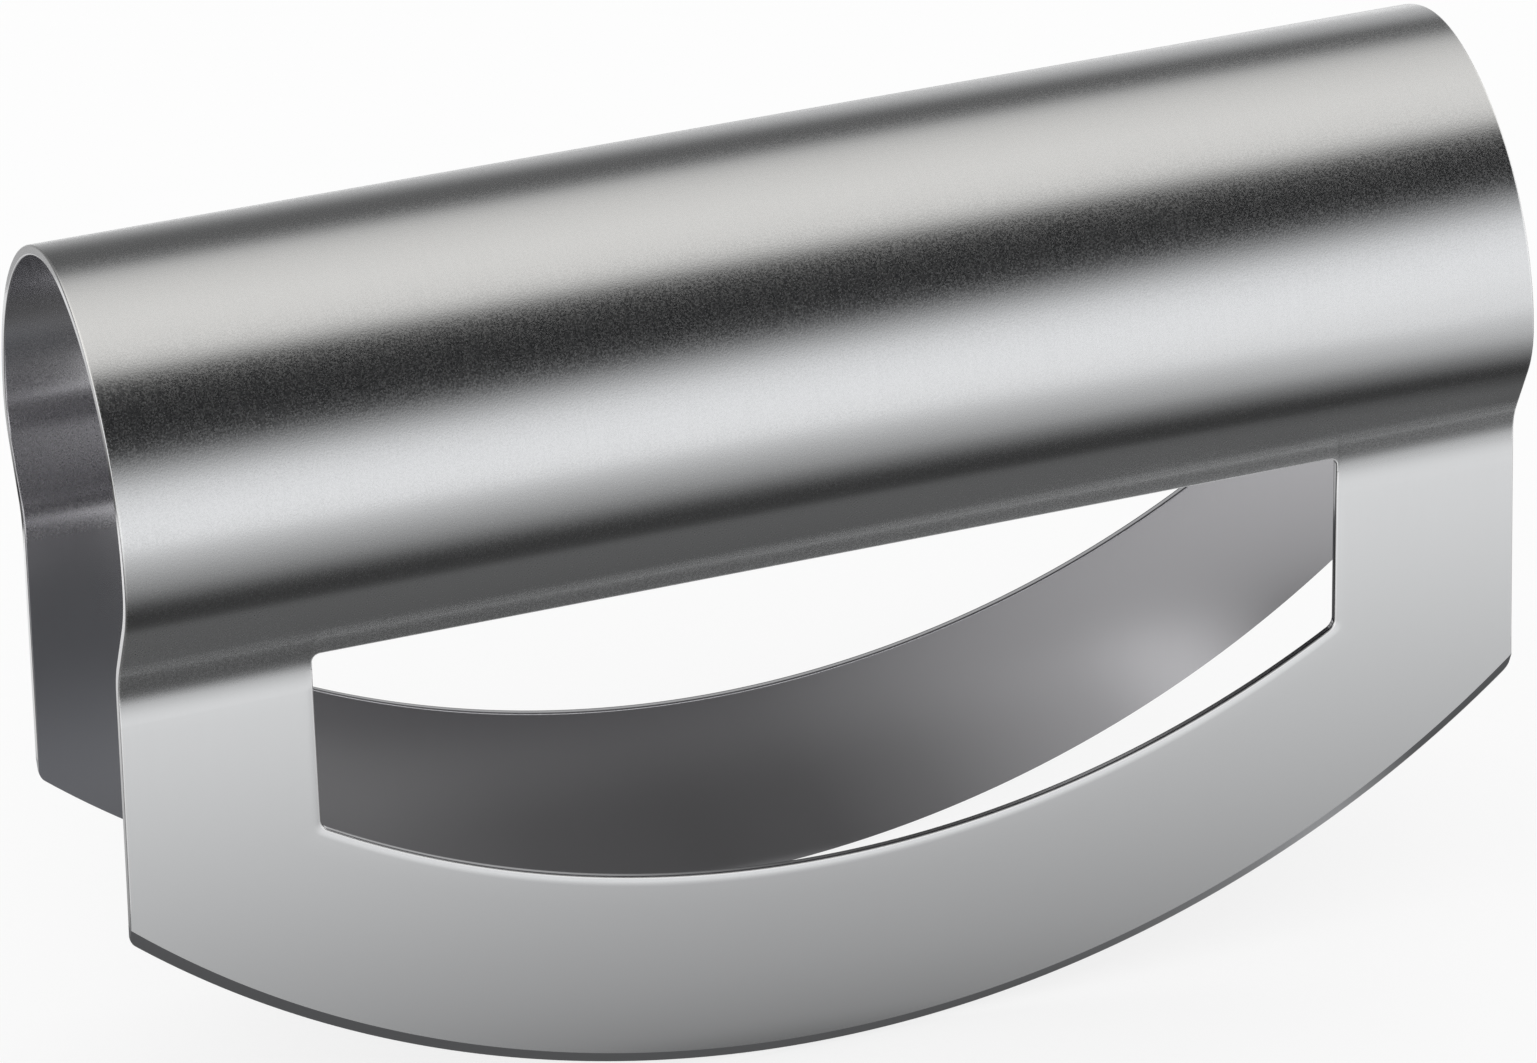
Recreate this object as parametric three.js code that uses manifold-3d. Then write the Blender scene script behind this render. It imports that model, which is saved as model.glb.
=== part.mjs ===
// Double-bladed mezzaluna of bent steel sheet, in millimetres, +Z up.
// X runs along the handle, Y from the front blade to the rear one.
// The origin is on the surface that the blades stand on, midway between them.
import * as THREE from 'three';
import { mergeVertices } from 'three/addons/utils/BufferGeometryUtils.js';
import Module from 'manifold-3d';

const wasm = await Module();
wasm.setup();

// Sheet and overall sizes
const sheetThickness = 1.2;
const lengthAtWaist = 169.5;
const endLeanAngle = 0.9; // degrees by which both ends lean in towards the top
const waistHeight = 64.75; // where the handle's last bend runs out into the flat blades

// Blades
const gapBetweenBlades = 39.6;
const edgeRadius = 128.5;
const bladeDepth = 25.45; // from the lowest point of the edge up to the window
const edgeCornerRadius = 2;
const bevelWidth = 1.7; // of the ground edge, along the blade
const edgeLand = 0.15; // flat that the grinding leaves at the edge

// Windows
const windowWidth = 124.6;
const windowArcRadius = 119;
const windowCornerRadius = 1.6; // where the arc meets the window's sides
const windowTopCornerRadius = 1;
const windowTopAboveWaist = 0.85;

// Handle section, with every radius on the outside of the sheet
const crownRadius = 19.7;
const crownHalfAngle = 15; // degrees, from the top to the flank
const cheekOverhang = 5.5; // how far the handle stands out beyond a blade
const cheekRadius = 13.3;
const waistAngle = 27.2; // degrees, lean of the straight tuck under the cheek
const waistRadius = 8;
const seamBelowWaist = 1; // where the handle's lips meet the blades

// Deviation of a facet from its true arc, and how far a cutter reaches past what it cuts
const facetTolerance = 0.01;
const cutterReach = 5;

const lean = THREE.MathUtils.degToRad(endLeanAngle);
const crown = THREE.MathUtils.degToRad(crownHalfAngle);
const tuckAngle = THREE.MathUtils.degToRad(waistAngle);
const bladeInner = gapBetweenBlades / 2;
const bladeOuter = bladeInner + sheetThickness;
const seamHeight = waistHeight - seamBelowWaist;
const windowTop = waistHeight + windowTopAboveWaist;

// Half length of the object at a height: the ends are straight lines that lean in.
function endAt(height) {
  return lengthAtWaist / 2 - Math.tan(lean) * (height - waistHeight);
}

// Largest step along an arc that keeps its chords within the facet tolerance.
function stepAngle(radius) {
  return 2 * Math.acos(1 - facetTolerance / radius);
}

// Points of an arc after its first point, from one angle to another. The count of facets is odd,
// so that a facet and not a corner lies across the middle, and the blades stand level on theirs.
function arc(centre, radius, from, to) {
  const steps = 2 * Math.ceil((Math.abs(to - from) / stepAngle(radius) - 1) / 2) + 1;
  return Array.from({ length: steps }, (_, i) => {
    const angle = from + ((to - from) * (i + 1)) / steps;
    return new THREE.Vector2(centre.x + radius * Math.cos(angle), centre.y + radius * Math.sin(angle));
  });
}

function mirrored(points) {
  return points.map((point) => new THREE.Vector2(-point.x, point.y)).reverse();
}

// One half of the handle's section, from the crown down to a lip, at a depth under the outer face.
// The crown, flank and cheek bend one way round, a straight tuck follows, and the waist bends back.
function handleHalf(depth) {
  const halfWidth = bladeOuter + cheekOverhang;
  const flankRadius = (halfWidth - crownRadius * Math.sin(crown)) / (1 - Math.sin(crown));
  const bendSetback = (cheekRadius + waistRadius) * (1 - Math.cos(tuckAngle));
  const tuckLength = (cheekOverhang - bendSetback) / Math.sin(tuckAngle);

  const waistCentre = new THREE.Vector2(bladeOuter + waistRadius, waistHeight);
  const tuckRise = (cheekRadius + waistRadius) * Math.sin(tuckAngle) + tuckLength * Math.cos(tuckAngle);
  const cheekCentre = new THREE.Vector2(halfWidth - cheekRadius, waistHeight + tuckRise);
  const flankCentre = new THREE.Vector2(halfWidth - flankRadius, cheekCentre.y);
  const crownCentre = new THREE.Vector2(0, flankCentre.y + (flankRadius - crownRadius) * Math.cos(crown));

  const top = new THREE.Vector2(0, crownCentre.y + crownRadius - depth);
  const waistStart = Math.PI - tuckAngle;
  const waistReach = waistRadius + depth;
  return [
    top,
    ...arc(crownCentre, crownRadius - depth, Math.PI / 2, Math.PI / 2 - crown),
    ...arc(flankCentre, flankRadius - depth, Math.PI / 2 - crown, 0),
    ...arc(cheekCentre, cheekRadius - depth, 0, -tuckAngle),
    new THREE.Vector2(
      waistCentre.x + waistReach * Math.cos(waistStart),
      waistCentre.y + waistReach * Math.sin(waistStart),
    ),
    ...arc(waistCentre, waistReach, waistStart, Math.PI),
    new THREE.Vector2(bladeOuter - depth, seamHeight),
  ];
}

// The bottom of a blade or window, from its right side to its left side: a wide arc that hangs
// from a centre above it, with its two corners rounded into sides that lean in by an angle.
function roundedBottom(sideAtZero, sideLean, arcCentreHeight, arcRadius, cornerRadius) {
  const slope = Math.tan(sideLean);
  const offset = sideAtZero - cornerRadius / Math.cos(sideLean);
  const reach = arcRadius - cornerRadius;
  const a = 1 + slope * slope;
  const b = offset * slope + arcCentreHeight;
  const c = offset * offset + arcCentreHeight * arcCentreHeight - reach * reach;
  const height = (b - Math.sqrt(b * b - a * c)) / a;
  const corner = new THREE.Vector2(offset - slope * height, height);
  const tangent = Math.atan2(height - arcCentreHeight, corner.x);
  const sideEnd = new THREE.Vector2(
    corner.x + cornerRadius * Math.cos(sideLean),
    corner.y + cornerRadius * Math.sin(sideLean),
  );
  const rightCorner = [sideEnd, ...arc(corner, cornerRadius, sideLean, tangent)];
  const arcCentre = new THREE.Vector2(0, arcCentreHeight);
  const bottom = arc(arcCentre, arcRadius, tangent, -Math.PI - tangent);
  return [...rightCorner, ...bottom.slice(0, -1), ...mirrored(rightCorner)];
}

// An outline drawn in X and Z, made a slab that runs through Y from one place to another.
function slabThroughY(points, fromY, toY) {
  const slab = new THREE.ExtrudeGeometry(new THREE.Shape(points), { depth: toY - fromY, bevelEnabled: false });
  slab.rotateX(Math.PI / 2);
  slab.translate(0, toY, 0);
  return slab;
}

// A section drawn in Y and Z, made a bar along X that is centred on the origin.
function barAlongX(points, length) {
  const bar = new THREE.ExtrudeGeometry(new THREE.Shape(points), { depth: length, bevelEnabled: false });
  bar.translate(0, 0, -length / 2);
  const axes = new THREE.Matrix4().makeBasis(
    new THREE.Vector3(0, 1, 0),
    new THREE.Vector3(0, 0, 1),
    new THREE.Vector3(1, 0, 0),
  );
  return bar.applyMatrix4(axes);
}

function toSolid(geometry) {
  const bare = geometry.clone();
  bare.deleteAttribute('normal');
  bare.deleteAttribute('uv');
  const merged = mergeVertices(bare);
  const triVerts = Uint32Array.from(merged.index.array);
  const vertProperties = Float32Array.from(merged.attributes.position.array);
  return new wasm.Manifold(new wasm.Mesh({ numProp: 3, vertProperties, triVerts }));
}

function toGeometry(solid) {
  const { vertProperties, triVerts } = solid.getMesh();
  const geometry = new THREE.BufferGeometry();
  geometry.setAttribute('position', new THREE.BufferAttribute(vertProperties, 3));
  geometry.setIndex(new THREE.BufferAttribute(triVerts, 1));
  geometry.computeVertexNormals();
  return geometry;
}

// The rolled handle: its section carried along the length, trimmed to the leaning ends,
// with the tops of the windows notched into both lips.
function handleGeometry() {
  const outer = handleHalf(0);
  const inner = handleHalf(sheetThickness);
  const section = [
    ...mirrored(outer.slice(1)),
    ...outer,
    ...inner.slice(1).reverse(),
    ...mirrored(inner).reverse(),
  ];
  const low = seamHeight - cutterReach;
  const high = outer[0].y + cutterReach;
  const side = windowWidth / 2;
  const notchCorner = new THREE.Vector2(side - windowTopCornerRadius, windowTop - windowTopCornerRadius);
  const notchHalf = [
    new THREE.Vector2(side, low),
    new THREE.Vector2(side, notchCorner.y),
    ...arc(notchCorner, windowTopCornerRadius, 0, Math.PI / 2),
  ];
  const trim = [
    new THREE.Vector2(endAt(low), low),
    new THREE.Vector2(endAt(high), high),
    new THREE.Vector2(-endAt(high), high),
    new THREE.Vector2(-endAt(low), low),
    ...mirrored(notchHalf).reverse(),
    ...notchHalf.slice().reverse(),
  ];
  const halfReach = bladeOuter + cheekOverhang + cutterReach;
  const rolled = toSolid(barAlongX(section, 2 * (endAt(low) + cutterReach)));
  return toGeometry(rolled.intersect(toSolid(slabThroughY(trim, -halfReach, halfReach))));
}

// What the grinding takes off the front blade: a ring round the centre of the edge's arc, whose
// inner side is the cone from the top of the bevel on the outer face to the land at the edge.
function grindingRing() {
  const bevelTop = new THREE.Vector2(edgeRadius - bevelWidth, -bladeOuter);
  const bevelFoot = new THREE.Vector2(edgeRadius, -bladeInner - edgeLand);
  const along = bevelFoot.clone().sub(bevelTop);
  const start = bevelTop.clone().sub(along);
  const end = bevelFoot.clone().add(along);
  const profile = [start, new THREE.Vector2(end.x, start.y), end, start.clone()];
  const turns = Math.ceil((2 * Math.PI) / stepAngle(edgeRadius));
  return new THREE.LatheGeometry(profile, turns).translate(0, 0, edgeRadius);
}

// The front blade: a crescent with an upright leg at each end, ground along its outer edge.
function bladeGeometry() {
  const windowSide = windowWidth / 2;
  const edge = roundedBottom(endAt(0), lean, edgeRadius, edgeRadius, edgeCornerRadius);
  const windowArcHeight = bladeDepth + windowArcRadius;
  const window = roundedBottom(windowSide, 0, windowArcHeight, windowArcRadius, windowCornerRadius);
  const outline = [
    new THREE.Vector2(endAt(seamHeight), seamHeight),
    ...edge,
    new THREE.Vector2(-endAt(seamHeight), seamHeight),
    new THREE.Vector2(-windowSide, seamHeight),
    ...window.slice().reverse(),
    new THREE.Vector2(windowSide, seamHeight),
  ];
  const flat = toSolid(slabThroughY(outline, -bladeOuter, -bladeInner));
  return toGeometry(flat.subtract(toSolid(grindingRing())));
}

function satinSteel(colour, roughness) {
  return new THREE.MeshStandardMaterial({ color: colour, roughness, metalness: 1 });
}

const handleShell = new THREE.Mesh(handleGeometry(), satinSteel(0xb4b5b6, 0.34));
handleShell.name = 'handle_shell';

const frontBlade = new THREE.Mesh(bladeGeometry(), satinSteel(0xbabcbd, 0.38));
frontBlade.name = 'front_blade';

// The rear blade is the same piece turned half round, so that both bevels face outwards.
const rearBlade = new THREE.Mesh(frontBlade.geometry, satinSteel(0xbabcbd, 0.38));
rearBlade.name = 'rear_blade';
rearBlade.rotation.z = Math.PI;

const mezzaluna = new THREE.Group();
mezzaluna.add(handleShell, frontBlade, rearBlade);

export default mezzaluna;
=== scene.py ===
import math

import bpy
import numpy as np
from mathutils import Matrix, Vector


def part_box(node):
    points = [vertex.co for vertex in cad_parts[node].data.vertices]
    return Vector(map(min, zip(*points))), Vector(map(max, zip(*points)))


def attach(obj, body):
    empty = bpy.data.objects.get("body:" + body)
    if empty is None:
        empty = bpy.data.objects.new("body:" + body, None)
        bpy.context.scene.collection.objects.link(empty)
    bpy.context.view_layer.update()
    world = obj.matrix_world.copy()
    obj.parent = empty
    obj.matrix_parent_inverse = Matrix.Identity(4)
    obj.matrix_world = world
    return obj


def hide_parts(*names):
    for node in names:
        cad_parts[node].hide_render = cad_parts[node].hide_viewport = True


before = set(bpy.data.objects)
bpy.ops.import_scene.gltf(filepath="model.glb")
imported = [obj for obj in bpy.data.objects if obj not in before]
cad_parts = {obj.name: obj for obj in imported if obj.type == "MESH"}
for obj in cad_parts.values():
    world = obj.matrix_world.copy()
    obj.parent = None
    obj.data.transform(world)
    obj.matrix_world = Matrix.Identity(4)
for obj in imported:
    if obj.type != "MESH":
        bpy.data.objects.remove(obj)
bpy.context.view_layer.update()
bladeLow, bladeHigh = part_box("front_blade")
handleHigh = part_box("handle_shell")[1]
print("frame loaded:", ", ".join(sorted(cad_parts)))

# sizes that handle and blades share, in metres and degrees; the rest comes from the frame's boxes
sheet = {
    "endLean": 0.9,  # both ends lean in towards the top
    "waistHeight": 0.06475,
    "lengthAtWaist": 0.1695,
    "windowWidth": 0.1246,
    "roundingSteps": 4,
    "sharpTurn": 40.0,  # a border that turns by more than this keeps its corner
}
sheet["outer"] = -bladeLow.y
sheet["inner"] = -bladeHigh.y
sheet["thickness"] = sheet["outer"] - sheet["inner"]
sheet["seam"] = bladeHigh.z
sheet["cheek"] = handleHigh.y


# half length at a height: the ends are straight lines that lean in
def endAt(height):
    slope = math.tan(math.radians(sheet["endLean"]))
    return sheet["lengthAtWaist"] / 2 - slope * (height - sheet["waistHeight"])


# quads of a grid whose points are counted row by row
def gridQuads(rows, columns):
    i = np.arange(rows * columns).reshape(rows, columns)
    return np.stack([i[:-1, :-1], i[:-1, 1:], i[1:, 1:], i[1:, :-1]], axis=-1).reshape(-1, 4)


# points and four-sided faces put into an empty mesh, shaded smooth
def fillMesh(mesh, points, quads):
    mesh.vertices.add(len(points))
    mesh.vertices.foreach_set("co", np.ascontiguousarray(points, dtype=np.float32).ravel())
    mesh.loops.add(quads.size)
    mesh.loops.foreach_set("vertex_index", np.ascontiguousarray(quads, dtype=np.int32).ravel())
    mesh.polygons.add(len(quads))
    mesh.polygons.foreach_set("loop_start", np.arange(0, quads.size, 4, dtype=np.int32))
    mesh.update(calc_edges=True)
    mesh.validate()
    mesh.shade_smooth()


# one value for each edge named by its two points, nought for the others
def markEdges(mesh, layerName, kind, pairs, values):
    ends = np.empty(len(mesh.edges) * 2, dtype=np.int32)
    mesh.edges.foreach_get("vertices", ends)
    ends = np.sort(ends.reshape(-1, 2), axis=1).astype(np.int64)
    keys = ends[:, 0] * len(mesh.vertices) + ends[:, 1]
    pairs = np.sort(pairs, axis=1).astype(np.int64)
    order = np.argsort(keys)
    wanted = pairs[:, 0] * len(mesh.vertices) + pairs[:, 1]
    marks = np.zeros(len(keys), dtype=np.float32)
    marks[order[np.searchsorted(keys, wanted, sorter=order)]] = values
    layer = mesh.attributes.new(layerName, kind, "EDGE")
    layer.data.foreach_set("value", marks if kind == "FLOAT" else marks > 0)


# closed sheet: an outer and an inner grid of points, joined by a wall along their common border
# rim is 1 where that border is a cut edge, punched is 1 where a window was cut there,
# and creases names more sharp edges of the outer grid
def sheetPiece(pieceName, outer, inner, rim, punched, creases, rounding):
    rows, columns = outer.shape[:2]
    count = rows * columns
    i = np.arange(count).reshape(rows, columns)
    border = np.concatenate([i[0, :-1], i[:-1, -1], i[-1, :0:-1], i[:0:-1, 0]])
    after = np.roll(border, -1)
    faces = np.concatenate([outer.reshape(-1, 3), inner.reshape(-1, 3)])
    points = np.concatenate([faces, (faces[border] + faces[border + count]) / 2])
    half = 2 * count + np.arange(len(border))  # points half way across the wall
    halfAfter = np.roll(half, -1)
    outerWall = np.stack([after, border, half, halfAfter], axis=-1)
    innerWall = np.stack([halfAfter, half, border + count, after + count], axis=-1)
    grid = gridQuads(rows, columns)
    quads = np.concatenate([grid, grid[:, ::-1] + count, outerWall, innerWall])
    a, b, c, d = (points[quads[:, k]] for k in range(4))
    volume = np.sum(np.cross(b - a, c - a) * a) + np.sum(np.cross(c - a, d - a) * a)
    if volume < 0:
        quads = quads[:, ::-1]
    mesh = bpy.data.meshes.new(pieceName)
    fillMesh(mesh, points, quads)

    cut, window = rim.reshape(-1), punched.reshape(-1)
    alongBorder = np.stack([border, after], axis=-1)
    weight = np.minimum(cut[border], cut[after])
    rounded = np.concatenate([alongBorder, alongBorder + count])
    markEdges(mesh, "bevel_weight_edge", "FLOAT", rounded, np.tile(weight, 2))
    run = points[after] - points[border]
    run /= np.linalg.norm(run, axis=1, keepdims=True)
    turn = np.sum(run * np.roll(run, 1, axis=0), axis=1) < math.cos(math.radians(sheet["sharpTurn"]))
    toOuter = np.stack([border, half], axis=-1)[turn]
    toInner = np.stack([half, border + count], axis=-1)[turn]
    sharp = np.concatenate([rounded[np.tile(weight, 2) == 0], toOuter, toInner, creases])
    markEdges(mesh, "sharp_edge", "BOOLEAN", sharp, 1.0)
    # for the materials: cut edges, the walls between them, those of windows, the inside of the sheet
    marks = {
        "cut": np.concatenate([cut, cut, cut[border]]),
        "wall": np.concatenate([0 * cut, 0 * cut, cut[border]]),
        "punched": np.concatenate([window, window, window[border]]),
        "inside": np.concatenate([0 * cut, 1 + 0 * cut, 0.5 + 0 * cut[border]]),
    }
    for markName, values in marks.items():
        layer = mesh.attributes.new(markName, "FLOAT", "POINT")
        layer.data.foreach_set("value", values.astype(np.float32))

    piece = bpy.data.objects.new(pieceName, mesh)
    bpy.context.collection.objects.link(piece)
    bevel = piece.modifiers.new("roundedCuts", "BEVEL")
    bevel.limit_method = "WEIGHT"
    bevel.width = rounding
    bevel.segments = sheet["roundingSteps"]
    bevel.harden_normals = True
    bevel.use_clamp_overlap = False
    return piece


handle = {
    "crownRadius": 0.0197,
    "crownHalfAngle": 15.0,
    "cheekRadius": 0.0133,
    "tuckAngle": 27.2,
    "waistRadius": 0.008,
    "windowTopAboveWaist": 0.00085,
    "windowCorner": 0.001,
    "cutRounding": 0.00022,
    "rimBand": 0.0003,  # first row in from a cut edge
    "settled": 0.011,  # along the sheet from a lip, where the columns are straight again
    "sideStretch": 2.5,  # weight of a window's sides in the spread of the columns
    "topColumns": 30,
    "cornerColumns": 8,
    "legColumns": 9,
    "lipRows": 8,
    "bodyRows": 74,
}


# bends of the sheet from a front lip up to the crown: length, curvature, and where each one starts
# the heading is measured from straight up, and grows as the sheet turns in over the hand
def handleBends():
    tuck = math.radians(handle["tuckAngle"])
    crown = math.radians(handle["crownHalfAngle"])
    overhang = sheet["cheek"] - sheet["outer"]
    setback = (handle["cheekRadius"] + handle["waistRadius"]) * (1 - math.cos(tuck))
    flankRadius = (sheet["cheek"] - handle["crownRadius"] * math.sin(crown)) / (1 - math.sin(crown))
    lengths = np.array([
        sheet["waistHeight"] - sheet["seam"],
        handle["waistRadius"] * tuck,
        (overhang - setback) / math.sin(tuck),
        handle["cheekRadius"] * tuck,
        flankRadius * (math.pi / 2 - crown),
        handle["crownRadius"] * crown,
    ])
    curves = np.array([
        0,
        -1 / handle["waistRadius"],
        0,
        1 / handle["cheekRadius"],
        1 / flankRadius,
        1 / handle["crownRadius"],
    ])
    starts = np.concatenate([[0], np.cumsum(lengths)])
    headings = np.concatenate([[0], np.cumsum(lengths * curves)])
    stepY, stepZ = bendStep(lengths, curves, headings[:-1])
    placeY = -sheet["outer"] + np.concatenate([[0], np.cumsum(stepY)])
    placeZ = sheet["seam"] + np.concatenate([[0], np.cumsum(stepZ)])
    return starts, curves, headings, placeY, placeZ


# how far a stretch of even curvature goes in Y and Z: a chord of its circle, or a straight line
def bendStep(run, curve, heading):
    straight = curve == 0
    radius = 1 / np.where(straight, 1, curve)
    turned = heading + curve * run
    stepY = np.where(straight, run * np.sin(heading), radius * (np.cos(heading) - np.cos(turned)))
    stepZ = np.where(straight, run * np.cos(heading), radius * (np.sin(turned) - np.sin(heading)))
    return stepY, stepZ


# place and outward direction of the outer face at a distance along the sheet
# the rear half mirrors the front
def sectionAt(along, bends):
    starts, curves, headings, placeY, placeZ = bends
    half = starts[-1]
    front = np.minimum(along, 2 * half - along)
    k = np.clip(np.searchsorted(starts, front, side="right") - 1, 0, len(curves) - 1)
    run = front - starts[k]
    stepY, stepZ = bendStep(run, curves[k], headings[k])
    heading = headings[k] + curves[k] * run
    side = np.where(along <= half, 1.0, -1.0)
    return side * (placeY[k] + stepY), placeZ[k] + stepZ, -side * np.cos(heading), np.sin(heading)


# right half of a lip, from the middle out: window top, rounded corner, window side, leg top
# each point has X, distance along the sheet, and the direction into the steel
def lipOutline():
    top = sheet["waistHeight"] - sheet["seam"] + handle["windowTopAboveWaist"]
    corner = handle["windowCorner"]
    side = sheet["windowWidth"] / 2
    end = endAt(sheet["seam"])
    flatX = np.linspace(0, side - corner, handle["topColumns"])
    angle = np.linspace(math.pi / 2, 0, handle["cornerColumns"] + 1)[1:]
    legX = np.linspace(side + 2 * handle["rimBand"], end - 2 * handle["rimBand"], handle["legColumns"])
    legX = np.concatenate([[side], legX, [end]])
    x = np.concatenate([flatX, side - corner + corner * np.cos(angle), legX])
    cornerAlong = top - corner + corner * np.sin(angle)
    along = np.concatenate([np.full(len(flatX), top), cornerAlong, np.zeros(len(legX))])
    inX = np.concatenate([np.zeros(len(flatX)), np.cos(angle), np.zeros(len(legX))])
    inAlong = np.concatenate([np.ones(len(flatX)), np.sin(angle), np.ones(len(legX))])
    inX[len(flatX) + len(angle)] = 1.0  # the leg's own corner goes in both ways
    cut = np.concatenate([np.ones(len(flatX) + len(angle) + 1), np.zeros(len(legX) - 1)])
    return x, along, inX, inAlong, cut


# the sheet's section carried along X: columns start on the outline of a lip and straighten out,
# rows run round the section from the front lip to the rear lip
def handleShell():
    bends = handleBends()
    half = bends[0][-1]
    x, along, inX, inAlong, cut = lipOutline()
    steps = np.hypot(np.diff(x), handle["sideStretch"] * np.diff(along))
    spread = np.concatenate([[0], np.cumsum(steps)]) / np.sum(steps)
    mirror = np.arange(len(x) - 1, 0, -1)
    x = np.concatenate([-x[mirror], x])
    inX = np.concatenate([-inX[mirror], inX])
    spread = np.concatenate([-spread[mirror], spread])
    along = np.concatenate([along[mirror], along])
    inAlong = np.concatenate([inAlong[mirror], inAlong])
    cut = np.concatenate([cut[mirror], cut])
    end = endAt(sheet["seam"])
    rimX = (x + inX * handle["rimBand"]) / end
    rimAlong = along + inAlong * handle["rimBand"]

    g = np.linspace(0, 1, handle["lipRows"] + 1)[:, None]
    lipAlong = np.concatenate([along[None], rimAlong + g * (handle["settled"] - rimAlong)])
    lipX = np.concatenate([x[None] / end, rimX + g * (spread - rimX)])
    bodyAlong = np.linspace(handle["settled"], half, handle["bodyRows"] + 1)[1:, None] + 0 * along
    bodyX = 0 * bodyAlong + spread
    frontAlong = np.concatenate([lipAlong, bodyAlong])
    frontX = np.concatenate([lipX, bodyX])
    allAlong = np.concatenate([frontAlong, 2 * half - frontAlong[-2::-1]])
    allX = np.concatenate([frontX, frontX[-2::-1]])

    y, z, outY, outZ = sectionAt(allAlong, bends)
    allX = allX * endAt(z)
    outer = np.stack([allX, y, z], axis=-1)
    inner = np.stack([allX, y - sheet["thickness"] * outY, z - sheet["thickness"] * outZ], axis=-1)
    punched = np.zeros(allX.shape)
    punched[0] = cut
    punched[-1] = cut
    rim = punched.copy()
    rim[:, 0] = 1
    rim[:, -1] = 1
    noCreases = np.empty((0, 2), dtype=np.int64)
    return sheetPiece("handleShell", outer, inner, rim, punched, noCreases, handle["cutRounding"])


blade = {
    "edgeRadius": 0.1285,
    "depth": 0.02545,  # from the lowest point of the edge up to the window
    "edgeCorner": 0.002,
    "windowRadius": 0.119,
    "windowCorner": 0.0016,
    "bevelWidth": 0.0017,
    "edgeLand": 0.00015,
    "cutRounding": 0.0002,
    "rimBand": 0.0005,  # first row in from the window
    "sideBand": 0.0012,  # rows beside the ends, wide enough for the rounding
    "rolledWidth": 0.0012,  # band round the window that the punch drew in, on the outer face
    "rolledDepth": 0.0002,
    "rolledFade": 0.003,  # below the seam, where that band dies out
    "thinnest": 0.00002,  # of the ground band where it runs out
    "creaseSlack": 1e-10,  # square metres by which that place may miss the band
    "roundingFade": 0.003,  # above that place, where the rounded cut starts
    "leastRounding": 0.2,  # share of it there
    "arcSteps": 60,
    "cornerSteps": 10,
    "runOutSteps": 3,
    "legSteps": 20,
    "legClosing": 2.0,  # power that brings the steps of a leg closer towards its foot
    "rolledSteps": 4,
    "acrossSteps": 8,
    "bevelSteps": 3,
}


# lower height at which a line that leans in meets a circle round a point above the middle
def meetingHeight(lineAtZero, slope, centreZ, radius):
    a = 1 + slope * slope
    b = lineAtZero * slope + centreZ
    c = lineAtZero * lineAtZero + centreZ * centreZ - radius * radius
    return (b - math.sqrt(b * b - a * c)) / a


# right half of a rounded bottom, from the middle out: wide arc, corner arc, then a side that leans in,
# with a point on the side where a band as wide as the ground bevel runs out
def roundedBottom(sideAtZero, lean, centreZ, radius, corner):
    slope = math.tan(lean)
    offset = sideAtZero - corner / math.cos(lean)
    cornerZ = meetingHeight(offset, slope, centreZ, radius - corner)
    cornerX = offset - slope * cornerZ
    tangent = math.atan2(cornerX, centreZ - cornerZ)  # from straight down, as seen from the arc's centre
    wide = np.linspace(0, tangent, blade["arcSteps"] + 1)
    small = np.linspace(tangent, math.pi / 2 + lean, blade["cornerSteps"] + 1)[1:]
    wideX, wideZ = radius * np.sin(wide), centreZ - radius * np.cos(wide)
    smallX, smallZ = cornerX + corner * np.sin(small), cornerZ - corner * np.cos(small)
    runOut = meetingHeight(sideAtZero, slope, centreZ, radius - blade["bevelWidth"])
    climb = np.linspace(0, 1, blade["legSteps"] + 1)[1:] ** blade["legClosing"]
    lowZ = np.linspace(smallZ[-1], runOut, blade["runOutSteps"] + 1)[1:]
    sideZ = np.concatenate([lowZ, runOut + (sheet["seam"] - runOut) * climb])
    sideX = sideAtZero - slope * sideZ
    return np.concatenate([wideX, smallX, sideX]), np.concatenate([wideZ, smallZ, sideZ])


# a right half and its mirror, joined in the middle
def bothHalves(x, z):
    return np.concatenate([-x[:0:-1], x]), np.concatenate([z[:0:-1], z])


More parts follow.
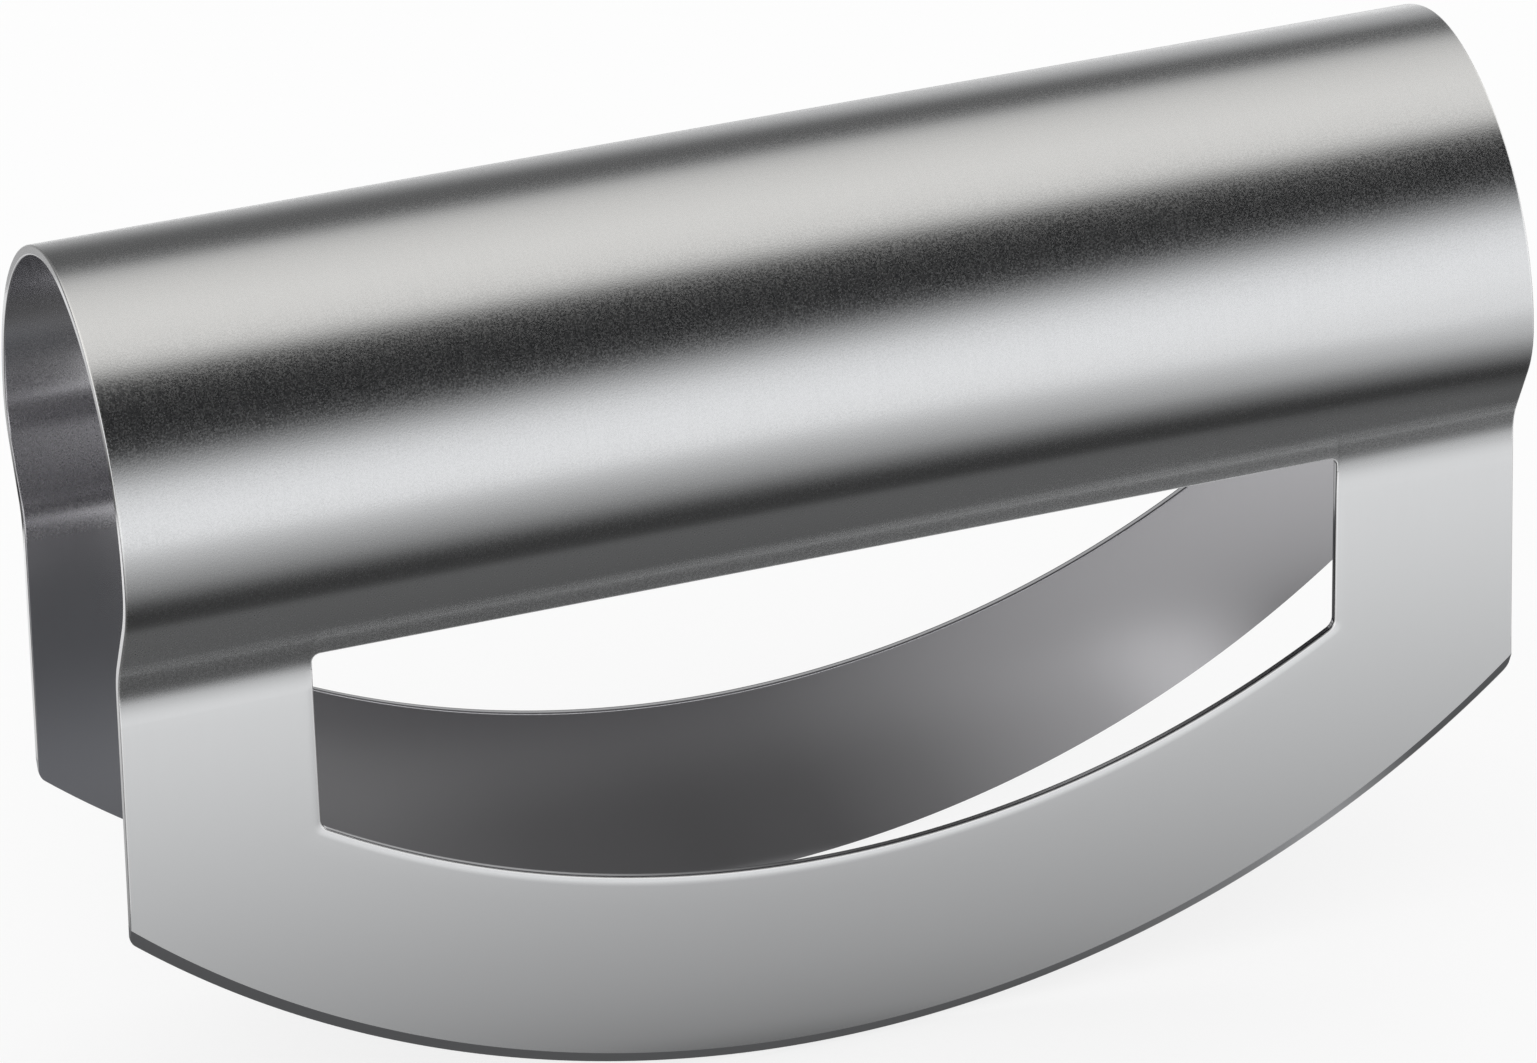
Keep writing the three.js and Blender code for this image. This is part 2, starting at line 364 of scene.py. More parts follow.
# a U of flat sheet between the window's outline and the edge's, with a cone ground off its outer face:
# the cut deepens evenly with the distance from the centre of the edge's arc
# beside the window the outer face dips by the square of the distance into the drawn band
def bladePiece(pieceName, turn):
    lean = math.radians(sheet["endLean"])
    centreZ = blade["edgeRadius"] + bladeLow.z
    windowCentreZ = blade["depth"] + blade["windowRadius"]
    edgeX, edgeZ = bothHalves(*roundedBottom(
        endAt(0), lean, centreZ, blade["edgeRadius"], blade["edgeCorner"]))
    windowX, windowZ = bothHalves(*roundedBottom(
        sheet["windowWidth"] / 2, 0, windowCentreZ, blade["windowRadius"], blade["windowCorner"]))
    width = np.hypot(edgeX - windowX, edgeZ - windowZ)
    toX, toZ = (edgeX - windowX) / width, (edgeZ - windowZ) / width
    creaseRadius = blade["edgeRadius"] - blade["bevelWidth"]
    reach = edgeX * toX + (edgeZ - centreZ) * toZ
    over = np.hypot(edgeX, edgeZ - centreZ) ** 2 - creaseRadius ** 2
    onCrease = over > -blade["creaseSlack"]
    crease = reach - np.sqrt(np.maximum(reach ** 2 - over, 0))  # from the edge back to the bevel's top
    crease = np.where(onCrease, np.maximum(crease, blade["thinnest"]), blade["sideBand"])
    drawn = np.linspace(blade["rimBand"], blade["rolledWidth"], blade["rolledSteps"] + 1)
    drawn = drawn[:, None] + 0 * width
    body = np.linspace(0, 1, blade["acrossSteps"] + 1)[1:, None]
    inFrom = blade["rolledWidth"] + body * (width - crease - blade["rolledWidth"])
    bevel = np.linspace(0, 1, blade["bevelSteps"] + 1)[1:, None]
    inBevel = width - crease + bevel * crease
    across = np.concatenate([0 * width[None], drawn, inFrom, inBevel])
    x, z = windowX + across * toX, windowZ + across * toZ
    ground = np.clip((np.hypot(x, z - centreZ) - creaseRadius) / blade["bevelWidth"], 0, 1)
    fade = np.clip((sheet["seam"] - z) / blade["rolledFade"], 0, 1)
    dip = blade["rolledDepth"] * fade * np.clip(1 - across / blade["rolledWidth"], 0, 1) ** 2
    outerY = -sheet["outer"] + dip + ground * (sheet["thickness"] - blade["edgeLand"])
    innerY = np.full(x.shape, -sheet["inner"])
    outer = np.stack([turn * x, turn * outerY, z], axis=-1)
    inner = np.stack([turn * x, turn * innerY, z], axis=-1)
    columns = x.shape[1]
    punched = np.zeros(x.shape)
    punched[0] = 1
    rim = punched.copy()
    runOut = np.min(edgeZ[~onCrease])
    rounding = np.clip((edgeZ - runOut) / blade["roundingFade"], blade["leastRounding"], 1)
    rim[-1] = np.where(onCrease, 0, rounding)
    creaseRow = 1 + blade["rolledSteps"] + blade["acrossSteps"]
    line = creaseRow * columns + np.arange(columns)
    creases = np.stack([line[:-1], line[1:]], axis=-1)[onCrease[:-1] & onCrease[1:]]
    ends = np.flatnonzero(onCrease)[[0, -1]]  # columns where the ground band runs out
    down = ((creaseRow + np.arange(blade["bevelSteps"]))[:, None] * columns + ends).ravel()
    creases = np.concatenate([creases, np.stack([down, down + columns], axis=-1)])
    return sheetPiece(pieceName, outer, inner, rim, punched, creases, blade["cutRounding"])


shell = handleShell()
frontBlade = bladePiece("frontBlade", 1)
rearBlade = bladePiece("rearBlade", -1)  # the same piece turned half round
print("steel pieces made:", len(shell.data.polygons), len(frontBlade.data.polygons), "quads")


# a node with values set by name, as properties of its own or on its sockets
def newNode(tree, kind, **values):
    node = tree.nodes.new(kind)
    for name, value in values.items():
        if hasattr(node, name):
            setattr(node, name, value)
        else:
            node.inputs[name].default_value = value
    return node


# mix of two values or two colours by a mask; each of the two is a socket or a plain value
def mixed(tree, kind, mask, first, second):
    node = newNode(tree, "ShaderNodeMix", data_type=kind)
    places, out = {"FLOAT": ((2, 3), 0), "RGBA": ((6, 7), 2)}[kind]
    for place, value in zip(places, (first, second)):
        if isinstance(value, bpy.types.NodeSocket):
            tree.links.new(value, node.inputs[place])
        else:
            node.inputs[place].default_value = value
    tree.links.new(mask, node.inputs[0])
    return node.outputs[out]


# a value made to run from 0 to 1 between two limits
def stepped(tree, value, low, high):
    node = newNode(tree, "ShaderNodeMapRange", interpolation_type="SMOOTHSTEP")
    node.inputs["From Min"].default_value = low
    node.inputs["From Max"].default_value = high
    tree.links.new(value, node.inputs["Value"])
    return node.outputs["Result"]


# one step of arithmetic on sockets or plain values
def worked(tree, operation, first, second=0.0):
    node = newNode(tree, "ShaderNodeMath", operation=operation)
    for place, value in enumerate((first, second)):
        if isinstance(value, bpy.types.NodeSocket):
            tree.links.new(value, node.inputs[place])
        else:
            node.inputs[place].default_value = value
    return node.outputs["Value"]


# a node group with named sockets in and out
def newGroup(groupName, given, put):
    group = bpy.data.node_groups.new(groupName, "ShaderNodeTree")
    for socketName in given:
        kind = "NodeSocketVector" if socketName == "Vector" else "NodeSocketFloat"
        group.interface.new_socket(socketName, in_out="INPUT", socket_type=kind)
    for socketName in put:
        group.interface.new_socket(socketName, in_out="OUTPUT", socket_type="NodeSocketFloat")
    return group, group.nodes.new("NodeGroupInput").outputs, group.nodes.new("NodeGroupOutput").inputs


grainNoise = {
    "streakDetail": 2.0,
    "fleckDetail": 1.0,
    "finerShare": 0.6,  # strength of each finer layer of a noise
    "streakLimits": (0.3, 0.7),
    "fleckLimits": (0.35, 0.65),
}


# satin grain of rolled steel: fine streaks that run round the section, and flecks of no direction
def satinGrainGroup():
    group, given, put = newGroup(
        "satinGrain",
        ("Vector", "Streaks per metre", "Streak runs per metre", "Streak relief", "Flecks per metre"),
        ("Streak", "Fleck", "Height"))
    links = group.links
    stretch = newNode(group, "ShaderNodeCombineXYZ")
    links.new(given["Streaks per metre"], stretch.inputs["X"])
    links.new(given["Streak runs per metre"], stretch.inputs["Y"])
    links.new(given["Streak runs per metre"], stretch.inputs["Z"])
    drawn = newNode(group, "ShaderNodeVectorMath", operation="MULTIPLY")
    links.new(given["Vector"], drawn.inputs[0])
    links.new(stretch.outputs["Vector"], drawn.inputs[1])
    finer = grainNoise["finerShare"]
    streak = newNode(group, "ShaderNodeTexNoise", Scale=1.0, Detail=grainNoise["streakDetail"],
                     Roughness=finer)
    links.new(drawn.outputs["Vector"], streak.inputs["Vector"])
    fleck = newNode(group, "ShaderNodeTexNoise", Detail=grainNoise["fleckDetail"], Roughness=finer)
    links.new(given["Vector"], fleck.inputs["Vector"])
    links.new(given["Flecks per metre"], fleck.inputs["Scale"])
    links.new(stepped(group, streak.outputs["Fac"], *grainNoise["streakLimits"]), put["Streak"])
    links.new(stepped(group, fleck.outputs["Fac"], *grainNoise["fleckLimits"]), put["Fleck"])
    raised = worked(group, "MULTIPLY", streak.outputs["Fac"], given["Streak relief"])
    links.new(worked(group, "ADD", raised, fleck.outputs["Fac"]), put["Height"])
    return group


cutLimits = {  # of the marks, between which each mask rises
    "wall": (0.05, 0.3),
    "core": (0.4, 0.7),
    "edge": (0.4, 0.95),
    "inside": (0.2, 0.5),
}


# cut edges from three marks on the mesh: the rubbed rim of the outer face, painted white as a
# highlight, the wall behind it, and the core of that wall without its two borders
def cutEdgesGroup():
    group, given, put = newGroup("cutEdges", ("Cut", "Wall", "Inside"), ("Rim", "Wall", "Core"))
    wall = stepped(group, given["Wall"], *cutLimits["wall"])
    core = stepped(group, given["Wall"], *cutLimits["core"])
    edge = stepped(group, given["Cut"], *cutLimits["edge"])
    facing = worked(group, "SUBTRACT", 1.0, stepped(group, given["Inside"], *cutLimits["inside"]))
    group.links.new(wall, put["Wall"])
    group.links.new(core, put["Core"])
    group.links.new(worked(group, "MULTIPLY", worked(group, "SUBTRACT", edge, wall), facing), put["Rim"])
    return group


satinGrain = satinGrainGroup()
cutEdges = cutEdgesGroup()

steel = {
    "colour": (0.660, 0.667, 0.676, 1),
    "insideColour": (0.65, 0.645, 0.665, 1),
    # the rim's pure white is a painted highlight on the rubbed edge
    "rimHighlightColour": (1, 1, 1, 1),
    "trimmedColour": (0.75, 0.75, 0.76, 1),  # walls at the ends
    # the windows' walls are darker than those at the ends and their borders near black: painted shade
    "punchedWallShade": (0.42, 0.42, 0.43, 1),  # walls of the windows
    "wallBorderShade": (0.08, 0.08, 0.085, 1),  # borders of those walls
    "roughness": 0.235,
    "rimRoughness": 0.3,
    "wallRoughness": 0.15,
    "streaks": 2600.0,
    "streakRuns": 130.0,
    "streakRelief": 0.3,  # height of a streak beside that of a fleck
    "middleStreak": 0.5,  # one that leaves the steel's shade as it is
    "flecks": 4800.0,
}
handleFinish = {
    "streakRoughness": 0.015,
    "fleckRoughness": 0.085,
    "streakShade": 0.006,  # share by which a streak darkens the steel
    "relief": 0.0000052,
}
bladeFinish = {
    "streakRoughness": 0.012,
    "fleckRoughness": 0.02,
    "streakShade": 0.005,
    "relief": 0.0000018,
}
# ground bevel of the blades: its darker colour is painted shade; the grinding lines and roughness are its
# own
groundEdge = {
    "colour": (0.38, 0.385, 0.4, 1),
    "roughness": 0.26,
    "lineRoughness": 0.1,
    "lines": 900.0,  # grinding lines per radian round the centre of the arc
    "lineDetail": 2.0,
    "relief": 0.000003,
}


# ground band of a blade: beyond a radius from the centre of the edge's arc, but not on the inner face
# gives the mask, and lines that run across the band
def groundBand(tree, place):
    split = newNode(tree, "ShaderNodeSeparateXYZ")
    tree.links.new(place, split.inputs["Vector"])
    drop = worked(tree, "SUBTRACT", blade["edgeRadius"] + bladeLow.z, split.outputs["Z"])
    squareX = worked(tree, "MULTIPLY", split.outputs["X"], split.outputs["X"])
    squares = worked(tree, "ADD", squareX, worked(tree, "MULTIPLY", drop, drop))
    creaseRadius = blade["edgeRadius"] - blade["bevelWidth"]
    ring = worked(tree, "GREATER_THAN", worked(tree, "SQRT", squares), creaseRadius)
    away = worked(tree, "ABSOLUTE", split.outputs["Y"])
    outside = worked(tree, "GREATER_THAN", away, sheet["inner"] + blade["edgeLand"] / 2)
    angle = worked(tree, "ARCTAN2", split.outputs["X"], drop)
    lines = newNode(tree, "ShaderNodeTexNoise", noise_dimensions="1D", Scale=groundEdge["lines"],
                    Detail=groundEdge["lineDetail"], Roughness=grainNoise["finerShare"])
    tree.links.new(angle, lines.inputs["W"])
    return worked(tree, "MULTIPLY", ring, outside), lines.outputs["Fac"]


# satin grain all over, then the ground band where there is one, darkened as painted shade,
# then the rims and walls of the cuts: rims painted white as a highlight, window walls darkened as painted
# shade
def steelMaterial(materialName, finish, ground):
    material = bpy.data.materials.new(materialName)
    material.use_nodes = True
    tree = material.node_tree
    links = tree.links
    shader = tree.nodes["Principled BSDF"]
    shader.inputs["Metallic"].default_value = 1.0
    place = tree.nodes.new("ShaderNodeTexCoord").outputs["Object"]
    grain = newNode(tree, "ShaderNodeGroup", node_tree=satinGrain)
    grain.inputs["Streaks per metre"].default_value = steel["streaks"]
    grain.inputs["Streak runs per metre"].default_value = steel["streakRuns"]
    grain.inputs["Streak relief"].default_value = steel["streakRelief"]
    grain.inputs["Flecks per metre"].default_value = steel["flecks"]
    links.new(place, grain.inputs["Vector"])
    edges = newNode(tree, "ShaderNodeGroup", node_tree=cutEdges)
    marks = {}
    for markName in ("cut", "wall", "inside", "punched"):
        marks[markName] = newNode(tree, "ShaderNodeAttribute", attribute_name=markName).outputs["Fac"]
    for markName, socketName in (("cut", "Cut"), ("wall", "Wall"), ("inside", "Inside")):
        links.new(marks[markName], edges.inputs[socketName])

    colour = mixed(tree, "RGBA", marks["inside"], steel["colour"], steel["insideColour"])
    shade = newNode(tree, "ShaderNodeHueSaturation")
    deeper = worked(tree, "SUBTRACT", grain.outputs["Streak"], steel["middleStreak"])
    dim = worked(tree, "MULTIPLY", deeper, finish["streakShade"])
    links.new(worked(tree, "SUBTRACT", 1.0, dim), shade.inputs["Value"])
    links.new(colour, shade.inputs["Color"])
    colour = shade.outputs["Color"]
    streaky = worked(tree, "MULTIPLY", grain.outputs["Streak"], finish["streakRoughness"])
    flecked = worked(tree, "MULTIPLY", grain.outputs["Fleck"], finish["fleckRoughness"])
    half = (finish["streakRoughness"] + finish["fleckRoughness"]) / 2
    rough = worked(tree, "ADD", worked(tree, "ADD", streaky, flecked), steel["roughness"] - half)
    height = worked(tree, "MULTIPLY", grain.outputs["Height"], finish["relief"])
    if ground:
        band, lines = groundBand(tree, place)
        # the ground band's darker colour is painted shade
        colour = mixed(tree, "RGBA", band, colour, groundEdge["colour"])
        lined = worked(tree, "MULTIPLY", lines, groundEdge["lineRoughness"])
        rough = mixed(tree, "FLOAT", band, rough, worked(tree, "ADD", lined, groundEdge["roughness"]))
        height = mixed(tree, "FLOAT", band, height, worked(tree, "MULTIPLY", lines, groundEdge["relief"]))
    # rims of the cuts: painted highlight
    colour = mixed(tree, "RGBA", edges.outputs["Rim"], colour, steel["rimHighlightColour"])
    # walls of the cuts; on the windows darker in the core and near black at the borders, as painted shade
    border = mixed(tree, "RGBA", marks["punched"], steel["trimmedColour"], steel["wallBorderShade"])
    core = mixed(tree, "RGBA", marks["punched"], steel["trimmedColour"], steel["punchedWallShade"])
    colour = mixed(tree, "RGBA", edges.outputs["Wall"], colour, border)
    colour = mixed(tree, "RGBA", edges.outputs["Core"], colour, core)
    rough = mixed(tree, "FLOAT", edges.outputs["Rim"], rough, steel["rimRoughness"])
    rough = mixed(tree, "FLOAT", edges.outputs["Wall"], rough, steel["wallRoughness"])
    links.new(colour, shader.inputs["Base Color"])
    links.new(rough, shader.inputs["Roughness"])
    bump = newNode(tree, "ShaderNodeBump", Strength=1.0, Distance=1.0)
    links.new(height, bump.inputs["Height"])
    links.new(bump.outputs["Normal"], shader.inputs["Normal"])
    return material


handleSteel = steelMaterial("handleSteel", handleFinish, False)
bladeSteel = steelMaterial("bladeSteel", bladeFinish, True)
shell.data.materials.append(handleSteel)
frontBlade.data.materials.append(bladeSteel)
rearBlade.data.materials.append(bladeSteel)
for piece, node, slotName in ((shell, "handle_shell", "handle_steel"),
                              (frontBlade, "front_blade", "blade_steel"),
                              (rearBlade, "rear_blade", "blade_steel")):
    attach(piece, "root")
    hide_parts(node)
print("steel finished")

# levels the steel sees: the grading near the object is a painted shadow, the greyer corner and the paper
# between the blades painted shade
floorPaper = {
    "half": 4.0,
    "gridPoints": 9,
    "colour": (0.94, 0.94, 0.94, 1),
    "cameraWhite": 0.75,  # share of plain white that the camera sees, the rest keeps the shadow
    "graded": 0.13,  # distance from the middle where the paper is at its full white in the steel
    "skew": -0.65,  # per metre along X, by which the grading closes in
    "shift": 1.0,  # per metre along X, by which it moves on
    "grading": (
        (0.0, 0.19), (0.175, 0.19), (0.21, 0.33), (0.31, 0.45), (0.6, 0.68), (0.785, 0.82), (0.9, 0.93),
        (1.0, 1.03),
    ),
    "corner": ((0.15, 0.19), (-0.09, -0.12)),  # limits in Y and X of a greyer corner, behind on the left
    "cornerPaintedShade": (0.43, 0.43, 0.43, 1),
    "between": (0.0175, 0.0195),  # limits of the paper between the blades, which has a grading along X
    "betweenSpan": (-0.1, 0.1),
    "betweenLift": (-0.018, 0.0, 0.06),  # it is brighter towards the front blade
    "betweenGrading": (
        (0.0, 0.1), (0.2, 0.09), (0.3, 0.16), (0.4, 0.11), (0.5, 0.095), (0.58, 0.11), (0.655, 0.19),
        (0.72, 0.31), (0.79, 0.44), (0.83, 0.65), (0.845, 0.71), (0.87, 0.68), (0.91, 0.36), (0.95, 0.07),
    ),
}
tent = {
    "radius": 0.45,
    "axis": (0.0, 0.085),  # Y and Z
    "half": 0.8,
    "fromAngle": -104.0,  # degrees from straight up, towards the front
    "toAngle": 100.0,
    "anglePoints": 97,
    "lengthPoints": 33,
    "twists": (  # angles between which a turn along X sets in, degrees per metre, and where it is level
        (28.0, 52.0, -34.0, 0.0835),
        (-58.0, -74.0, 86.0, 0.14),
    ),
    "twistReach": 0.3,  # along X from that place, where a turn stops growing
    "bands": (  # angle, brightness and warmth
        (-104, 0.72, 0), (-88, 0.58, 0), (-76, 0.36, 0), (-66, 0.14, 0), (-54, 0.11, 0), (-44, 0.2, 0),
        (-36, 0.56, 0.02), (-24, 0.84, 0.035), (-6, 0.97, 0.035), (13, 0.94, 0.035), (18, 0.72, 0.03),
        (23, 0.02, -0.06), (54, 0.01, -0.06), (62, 0.42, -0.006), (72, 0.98, -0.006), (84, 1.13, -0.006),
        (100, 1.1, 0),
    ),
}
# the shelves stand in for the shade under the cheeks: painted shade that only the steel sees
shelf = {  # dark graded card under each cheek, with a short skirt along the blade
    "gap": 0.0015,
    "skirt": (0.06042, 0.06502),
    "height": 0.06585,
    "depth": 0.14,
    "halfLength": 0.3,
    "profilePoints": 41,
    "lengthPoints": 33,
    "taper": (0.85, -3.0, -20.0),  # depth along X: share in the middle, per metre, per square metre
    "taperLimits": (0.4, 1.2),
    "rise": 0.0047,  # of the skirt along X
    "skirtShare": 0.25,  # of the card's map
    "levelFrom": 0.3,
    "levels": (  # distance from the skirt and brightness
        (0.0, 0.12), (0.0045, 0.15), (0.007, 0.06), (0.0105, 0.045), (0.015, 0.055), (0.019, 0.1),
        (0.023, 0.165), (0.031, 0.26), (0.042, 0.4), (0.061, 0.56), (0.097, 0.72), (0.14, 0.9),
    ),
    "skirtLevels": (
        (0.0, 1.02), (0.25, 0.92), (0.4, 0.82), (0.6, 0.63), (0.7, 0.4), (0.745, 0.27), (0.785, 0.17),
        (0.85, 0.115), (1.0, 0.09),
    ),
}
# the grey card stands in for the shade between the legs: painted shade that only the steel sees
leftFlag = {  # grey card between the legs at the left end, that only the rear leg sees
    "corner": (-0.1, -0.0188, 0.0),
    "up": (0.0, 0.0, 0.04),
    "along": (0.0385, 0.0, 0.0),
    "gridPoints": 9,
    "levels": (  # place, brightness and warmth
        (0.0, 0.19, -0.06), (0.28, 0.2, -0.06), (0.5, 0.13, -0.06), (0.65, 0.09, -0.06), (1.0, 0.08, -0.06),
    ),
}
windowCard = {  # level white card behind the rear window, that only the window's lower wall sees
    "corner": (-0.05, 0.03, 0.05),
    "up": (0.0, 0.045, 0.0),
    "along": (0.12, 0.0, 0.0),
    "gridPoints": 9,
    "levels": ((0.0, 0.75), (1.0, 0.75)),
}


# grid of two parameters from 0 to 1
def unitGrid(columns, rows):
    return np.meshgrid(np.linspace(0, 1, columns), np.linspace(0, 1, rows))


# mesh of the studio, whose map holds the two parameters of its points
def stagePiece(pieceName, points, u, v):
    mesh = bpy.data.meshes.new(pieceName)
    quads = gridQuads(*u.shape)
    uv = np.stack([u, v], axis=-1)
    fillMesh(mesh, points.reshape(-1, 3), quads)
    layer = mesh.uv_layers.new(name="place")
    layer.data.foreach_set("uv", uv.reshape(-1, 2)[quads.ravel()].astype(np.float32).ravel())
    piece = bpy.data.objects.new(pieceName, mesh)
    bpy.context.collection.objects.link(piece)
    return piece


def onlyInReflections(piece):
    piece.visible_camera = False
    piece.visible_diffuse = False
    piece.visible_transmission = False
    piece.visible_shadow = False
    piece.visible_volume_scatter = False


# flat square: each parameter goes evenly from one side to the other
def floorPiece():
    u, v = unitGrid(floorPaper["gridPoints"], floorPaper["gridPoints"])
    half = floorPaper["half"]
    points = np.stack([half * (2 * u - 1), half * (2 * v - 1), 0 * u], axis=-1)
    return stagePiece("floor", points, u, v)


# barrel round an axis along X: one angle goes over the object from back to front, the other parameter
# along it, and the twists turn the angle evenly along X
def tentPiece():
    u, v = unitGrid(tent["anglePoints"], tent["lengthPoints"])
    x = tent["half"] * (2 * v - 1)
    angle = tent["fromAngle"] + u * (tent["toAngle"] - tent["fromAngle"])
    reach = tent["twistReach"]
    turned = sum(turn * np.clip(x - level, -reach, reach) * np.clip((angle - start) / (full - start), 0, 1)
                 for start, full, turn, level in tent["twists"])
    angle = np.radians(angle + turned)
    axisY, axisZ = tent["axis"]
    y = axisY - tent["radius"] * np.sin(angle)
    z = axisZ + tent["radius"] * np.cos(angle)
    points = np.stack([x, y, z], axis=-1)
    return stagePiece("tent", points, u, v)


# a profile carried along X: up the skirt beside the blade, then out level, to a depth that tapers along X
def shelfPiece(pieceName, turn):
    u, v = unitGrid(shelf["profilePoints"], shelf["lengthPoints"])
    x = shelf["halfLength"] * (2 * v - 1)
    middle, slope, bend = shelf["taper"]
    depth = shelf["depth"] * np.clip(middle + slope * x + bend * x * x, *shelf["taperLimits"])
    low, high = shelf["skirt"]
    onSkirt = np.clip(u / shelf["skirtShare"], 0, 1)
    onLevel = np.clip((u - shelf["levelFrom"]) / (1 - shelf["levelFrom"]), 0, 1)
    y = -sheet["outer"] - shelf["gap"] - depth * onLevel
    z = np.where(u <= shelf["skirtShare"], low + (high - low) * onSkirt, shelf["height"])
    z = z + shelf["rise"] * x
    points = np.stack([turn * x, turn * y, z], axis=-1)
    return stagePiece(pieceName, points, u, v)


# flat card from a corner along two sides, whose map goes along the first
def flatPiece(pieceName, place):
    u, v = unitGrid(place["gridPoints"], place["gridPoints"])
    points = place["corner"] + u[..., None] * place["up"] + v[..., None] * place["along"]
    return stagePiece(pieceName, points, u, v)


# stops of place and brightness, and where it is given, warmth: a little more red and less blue
def setStops(ramp, stops):
    elements = ramp.color_ramp.elements
    for k, (place, level, *warmth) in enumerate(stops):
        element = elements[k] if k < 2 else elements.new(place)
        element.position = place
        warm = sum(warmth)
        element.color = (level * (1 + warm / 2), level, level * (1 - warm), 1)


# a card that glows by a row of levels along the first direction of its own map
# and may be clear from behind
def cardMaterial(materialName, stops, oneSided):
    material = bpy.data.materials.new(materialName)
    material.use_nodes = True
    tree = material.node_tree
    links = tree.links
    tree.nodes.remove(tree.nodes["Principled BSDF"])
    uv = newNode(tree, "ShaderNodeUVMap", uv_map="place")
    split = newNode(tree, "ShaderNodeSeparateXYZ")
    ramp = newNode(tree, "ShaderNodeValToRGB")
    setStops(ramp, stops)
    glow = newNode(tree, "ShaderNodeEmission")
    links.new(uv.outputs["UV"], split.inputs["Vector"])
    links.new(split.outputs["X"], ramp.inputs["Fac"])
    links.new(ramp.outputs["Color"], glow.inputs["Color"])
    surface = glow.outputs["Emission"]
    if oneSided:
        sides = newNode(tree, "ShaderNodeMixShader")
        links.new(tree.nodes.new("ShaderNodeNewGeometry").outputs["Backfacing"], sides.inputs["Fac"])
        links.new(surface, sides.inputs[1])
        links.new(tree.nodes.new("ShaderNodeBsdfTransparent").outputs["BSDF"], sides.inputs[2])
        surface = sides.outputs["Shader"]
    links.new(surface, tree.nodes["Material Output"].inputs["Surface"])
    return material


# brightness of the paper as the steel sees it, a painted shadow of the object: graded away from the object
# to both sides, with a grading of its own along X between the blades, and a greyer corner, both painted
# shade
def paperPaintedShadow(tree):
    links = tree.links
    place = tree.nodes.new("ShaderNodeTexCoord")
    split = newNode(tree, "ShaderNodeSeparateXYZ")
    links.new(place.outputs["Object"], split.inputs["Vector"])
    away = worked(tree, "ABSOLUTE", split.outputs["Y"])
    closing = worked(tree, "ADD", worked(tree, "MULTIPLY", split.outputs["X"], floorPaper["skew"]), 1.0)
    ramp = newNode(tree, "ShaderNodeValToRGB")
    setStops(ramp, floorPaper["grading"])
    spread = worked(tree, "DIVIDE", worked(tree, "MULTIPLY", away, closing), floorPaper["graded"])
    shift = worked(tree, "MULTIPLY", split.outputs["X"], floorPaper["shift"])
    links.new(worked(tree, "ADD", spread, shift), ramp.inputs["Fac"])
    left, right = floorPaper["betweenSpan"]
    between = newNode(tree, "ShaderNodeValToRGB")
    setStops(between, floorPaper["betweenGrading"])
    fromLeft = worked(tree, "SUBTRACT", split.outputs["X"], left)
    links.new(worked(tree, "DIVIDE", fromLeft, right - left), between.inputs["Fac"])
    near, far, most = floorPaper["betweenLift"]
    fading = worked(tree, "SUBTRACT", 1.0, stepped(tree, split.outputs["Y"], near, far))
    lift = worked(tree, "MULTIPLY", fading, most)
    lifted = newNode(tree, "ShaderNodeVectorMath", operation="ADD")
    links.new(between.outputs["Color"], lifted.inputs[0])
    links.new(lift, lifted.inputs[1])
    outside = stepped(tree, away, *floorPaper["between"])
    paperLevel = mixed(tree, "RGBA", outside, lifted.outputs["Vector"], ramp.outputs["Color"])
    behind, leftwards = floorPaper["corner"]
    corner = worked(tree, "MULTIPLY", stepped(tree, split.outputs["Y"], *behind),
                    stepped(tree, split.outputs["X"], *leftwards))
    return mixed(tree, "RGBA", corner, paperLevel, floorPaper["cornerPaintedShade"])


# pale paper: the camera sees it mostly white with the object's shadow
# the steel sees it graded darker towards the object, a painted shadow
def floorMaterial():
    material = bpy.data.materials.new("paleFloor")
    material.use_nodes = True
    tree = material.node_tree
    links = tree.links
    tree.nodes.remove(tree.nodes["Principled BSDF"])
    paper = newNode(tree, "ShaderNodeBsdfDiffuse", Color=floorPaper["colour"])
    white = newNode(tree, "ShaderNodeEmission")
    ray = tree.nodes.new("ShaderNodeLightPath").outputs
    seen = newNode(tree, "ShaderNodeMixShader")
    links.new(worked(tree, "MULTIPLY", ray["Is Camera Ray"], floorPaper["cameraWhite"]), seen.inputs["Fac"])
    links.new(paper.outputs["BSDF"], seen.inputs[1])
    links.new(white.outputs["Emission"], seen.inputs[2])
    graded = newNode(tree, "ShaderNodeEmission")
    links.new(paperPaintedShadow(tree), graded.inputs["Color"])
    mirrored = worked(tree, "MAXIMUM", ray["Is Glossy Ray"], ray["Is Transmission Ray"])
    finish = newNode(tree, "ShaderNodeMixShader")
    links.new(mirrored, finish.inputs["Fac"])
    links.new(seen.outputs["Shader"], finish.inputs[1])
    links.new(graded.outputs["Emission"], finish.inputs[2])
    links.new(finish.outputs["Shader"], tree.nodes["Material Output"].inputs["Surface"])
    return material


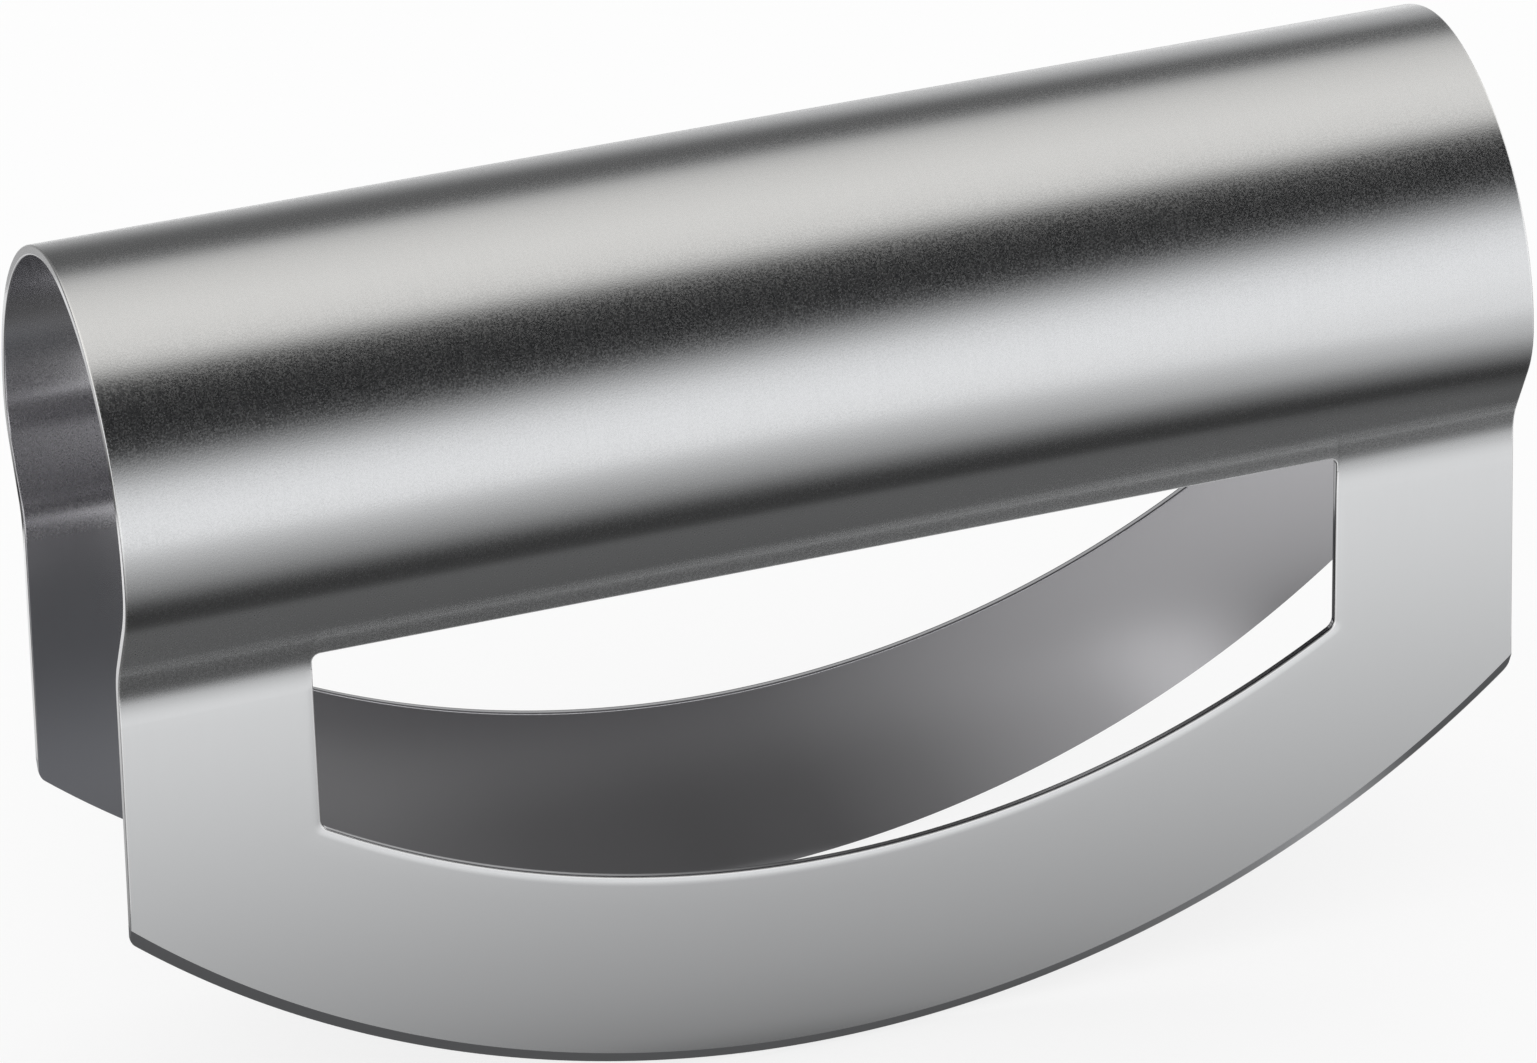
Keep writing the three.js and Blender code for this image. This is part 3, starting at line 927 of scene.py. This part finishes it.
floor = floorPiece()
floor.data.materials.append(floorMaterial())
tentSpan = tent["toAngle"] - tent["fromAngle"]
tentStops = [((angle - tent["fromAngle"]) / tentSpan, level, warmth)
             for angle, level, warmth in tent["bands"]]
tentCard = tentPiece()
tentCard.data.materials.append(cardMaterial("tentBands", tentStops, False))
onlyInReflections(tentCard)
shelfStops = [(shelf["skirtShare"] * place, level) for place, level in shelf["skirtLevels"]]
shelfStops += [(shelf["levelFrom"] + (1 - shelf["levelFrom"]) * place / shelf["depth"], level)
               for place, level in shelf["levels"]]
shelfGlow = cardMaterial("shelfLevels", shelfStops, False)
for cardName, turn in (("frontShelf", 1), ("rearShelf", -1)):
    card = shelfPiece(cardName, turn)
    card.data.materials.append(shelfGlow)
    onlyInReflections(card)
for cardName, place in (("leftFlag", leftFlag), ("windowCard", windowCard)):
    card = flatPiece(cardName, place)
    card.data.materials.append(cardMaterial(cardName + "Levels", place["levels"], True))
    onlyInReflections(card)

world = bpy.data.worlds.new("whiteStudio")
bpy.context.scene.world = world
world.use_nodes = True
world.node_tree.nodes["Background"].inputs["Color"].default_value = (1, 1, 1, 1)
world.node_tree.nodes["Background"].inputs["Strength"].default_value = 1.0

# eye at a distance from the point looked at; azimuth 0 looks along +Y, and roll turns the frame
cameraPlace = {
    "lookAt": (0.0010833, 0.0053425, 0.0550324),
    "azimuth": -18.8386,
    "elevation": 28.6805,
    "roll": -1.495,
    "distance": 0.92476,
    "lens": 184.08,
    "sensor": 36.0,
}


def placeCamera():
    azimuth = math.radians(cameraPlace["azimuth"])
    elevation = math.radians(cameraPlace["elevation"])
    back = Vector((math.sin(azimuth) * math.cos(elevation), -math.cos(azimuth) * math.cos(elevation),
                   math.sin(elevation)))
    level = Vector((math.cos(azimuth), math.sin(azimuth), 0))
    turn = Matrix((level, back.cross(level), back)).transposed()
    turn = turn @ Matrix.Rotation(math.radians(cameraPlace["roll"]), 3, "Z")
    eye = bpy.data.cameras.new("camera")
    eye.lens = cameraPlace["lens"]
    eye.sensor_width = cameraPlace["sensor"]
    eye.sensor_fit = "HORIZONTAL"
    camera = bpy.data.objects.new("camera", eye)
    camera.matrix_world = Matrix.Translation(
        Vector(cameraPlace["lookAt"]) + cameraPlace["distance"] * back) @ turn.to_4x4()
    bpy.context.collection.objects.link(camera)
    bpy.context.scene.camera = camera


placeCamera()
bpy.context.scene.view_settings.view_transform = "Standard"
print("studio and camera set")
